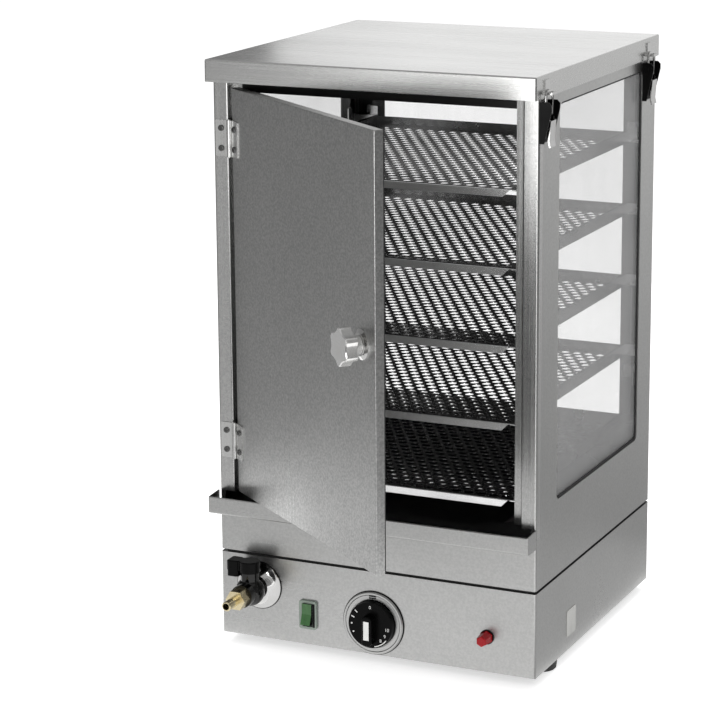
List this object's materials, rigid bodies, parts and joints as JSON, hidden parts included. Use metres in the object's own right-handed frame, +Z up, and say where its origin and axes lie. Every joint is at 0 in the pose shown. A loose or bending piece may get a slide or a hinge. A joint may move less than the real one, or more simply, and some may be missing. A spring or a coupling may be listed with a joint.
{
  "type": "proofing cabinet",
  "caption": "Countertop steam proofing cabinet: glazed steel body over a heated water tank, perforated trays, side-hinged door, lift-off lid and a drain cock.",
  "frame": {"origin": "on the floor, midway between the four feet", "axes": "+Z up, -Y out of the door side, +X to the right seen from the front"},
  "size_m": [0.3676, 0.5719, 0.622],
  "materials": {
    "brushed_steel": "satin, grain along the sheet",
    "tray_steel": "mill finish, perforated",
    "basin_steel": "pressed, dull",
    "heater_metal": "heat-tinted tube",
    "hinge_steel": "smooth",
    "chrome": "polished",
    "spindle_steel": "plated",
    "brass": "machined",
    "dial_metal": "satin ring with printed marks",
    "black_plastic": "moulded",
    "switch_frame": "clear splash frame over a dark body",
    "green_rocker": "translucent green",
    "red_lens": "translucent red, faceted",
    "glass": "clear",
    "black_rubber": "matt",
    "blank_label": "blank"
  },
  "bodies": {
    "cabinet": {"base_shell": "brushed_steel", "base_bottom_plate": "brushed_steel", "front_tank_panel": "brushed_steel", "drip_gutter": "brushed_steel", "right_wall": "brushed_steel", "left_wall": "brushed_steel", "rear_wall": "brushed_steel", "right_post": "brushed_steel", "left_post": "brushed_steel", "head_rail": "brushed_steel", "lid": "brushed_steel", "tray_runners": "tray_steel", "glass_clips": "tray_steel", "tray_1": "tray_steel", "tray_2": "tray_steel", "tray_3": "tray_steel", "tray_4": "tray_steel", "tray_5": "tray_steel", "water_basin": "basin_steel", "heating_element": "heater_metal", "hinge_post_leaves": "hinge_steel", "hinge_pins": "hinge_steel", "hinge_post_screws": "hinge_steel", "foot_screws": "hinge_steel", "drain_rosette": "chrome", "drain_valve_body": "chrome", "toggle_brackets": "chrome", "toggle_keepers": "chrome", "drain_hose_tail": "brass", "drain_pipe": "brass", "dial_bezel": "dial_metal", "thermostat_body": "black_plastic", "cable_gland": "black_plastic", "lamp_body": "black_plastic", "switch_housing": "switch_frame", "lamp_lens": "red_lens", "side_glass_panes": "glass", "rear_glass_pane": "glass", "rubber_feet": "black_rubber", "window_gaskets": "black_rubber", "seam_gasket": "black_rubber", "rating_label": "blank_label"},
    "door": {"door_outer_pan": "brushed_steel", "door_inner_panel": "brushed_steel", "door_seal": "black_rubber", "knob_rosette": "chrome", "hinge_door_leaves": "hinge_steel", "hinge_door_screws": "hinge_steel"},
    "door_knob": {"door_knob": "chrome", "latch_spindle": "spindle_steel", "latch_cam": "spindle_steel"},
    "dial": {"dial_knob": "black_plastic", "thermostat_shaft": "spindle_steel"},
    "rocker": {"switch_rocker": "green_rocker"},
    "drain_handle": {"drain_lever": "black_plastic", "drain_stem": "chrome"},
    "front_lever": {"front_toggle_lever": "chrome"},
    "rear_lever": {"rear_toggle_lever": "chrome"},
    "front_bail": {"front_toggle_bail": "chrome"},
    "rear_bail": {"rear_toggle_bail": "chrome"}
  },
  "joints": [
    {"name": "door_swing", "type": "hinge", "parent": "cabinet", "child": "door", "pos_m": [-0.1576, -0.1756, 0.38], "axis": [0, 0, 1], "range_deg": [-132, 38]},
    {"name": "knob_turn", "type": "hinge", "parent": "door", "child": "door_knob", "pos_m": [0.07024, -0.35031, 0.388], "axis": [0.6157, 0.788, 0], "range_deg": [0, 90]},
    {"name": "dial_turn", "type": "hinge", "parent": "cabinet", "child": "dial", "pos_m": [-0.001, -0.173, 0.0466], "axis": [0, 1, 0], "range_deg": [0, 270]},
    {"name": "switch_rock", "type": "hinge", "parent": "cabinet", "child": "rocker", "pos_m": [-0.0755, -0.171, 0.045], "axis": [1, 0, 0], "range_deg": [0, 22]},
    {"name": "drain_turn", "type": "hinge", "parent": "cabinet", "child": "drain_handle", "pos_m": [-0.1323, -0.195, 0.0695], "axis": [0, 0, 1], "range_deg": [0, 90]},
    {"name": "front_toggle_open", "type": "hinge", "parent": "cabinet", "child": "front_lever", "pos_m": [0.1818, -0.161, 0.58], "axis": [0, -1, 0], "range_deg": [0, 120]},
    {"name": "front_bail_swing", "type": "hinge", "parent": "front_lever", "child": "front_bail", "pos_m": [0.1808, -0.161, 0.572], "axis": [0, -1, 0], "range_deg": [-106, 0]},
    {"name": "rear_toggle_open", "type": "hinge", "parent": "cabinet", "child": "rear_lever", "pos_m": [0.1818, 0.141, 0.58], "axis": [0, -1, 0], "range_deg": [0, 120]},
    {"name": "rear_bail_swing", "type": "hinge", "parent": "rear_lever", "child": "rear_bail", "pos_m": [0.1808, 0.141, 0.572], "axis": [0, -1, 0], "range_deg": [-106, 0]}
  ],
  "couplings": [
    {"joint": "front_bail_swing", "follows": "front_toggle_open", "ratio": -0.88},
    {"joint": "rear_bail_swing", "follows": "rear_toggle_open", "ratio": -0.88}
  ]
}
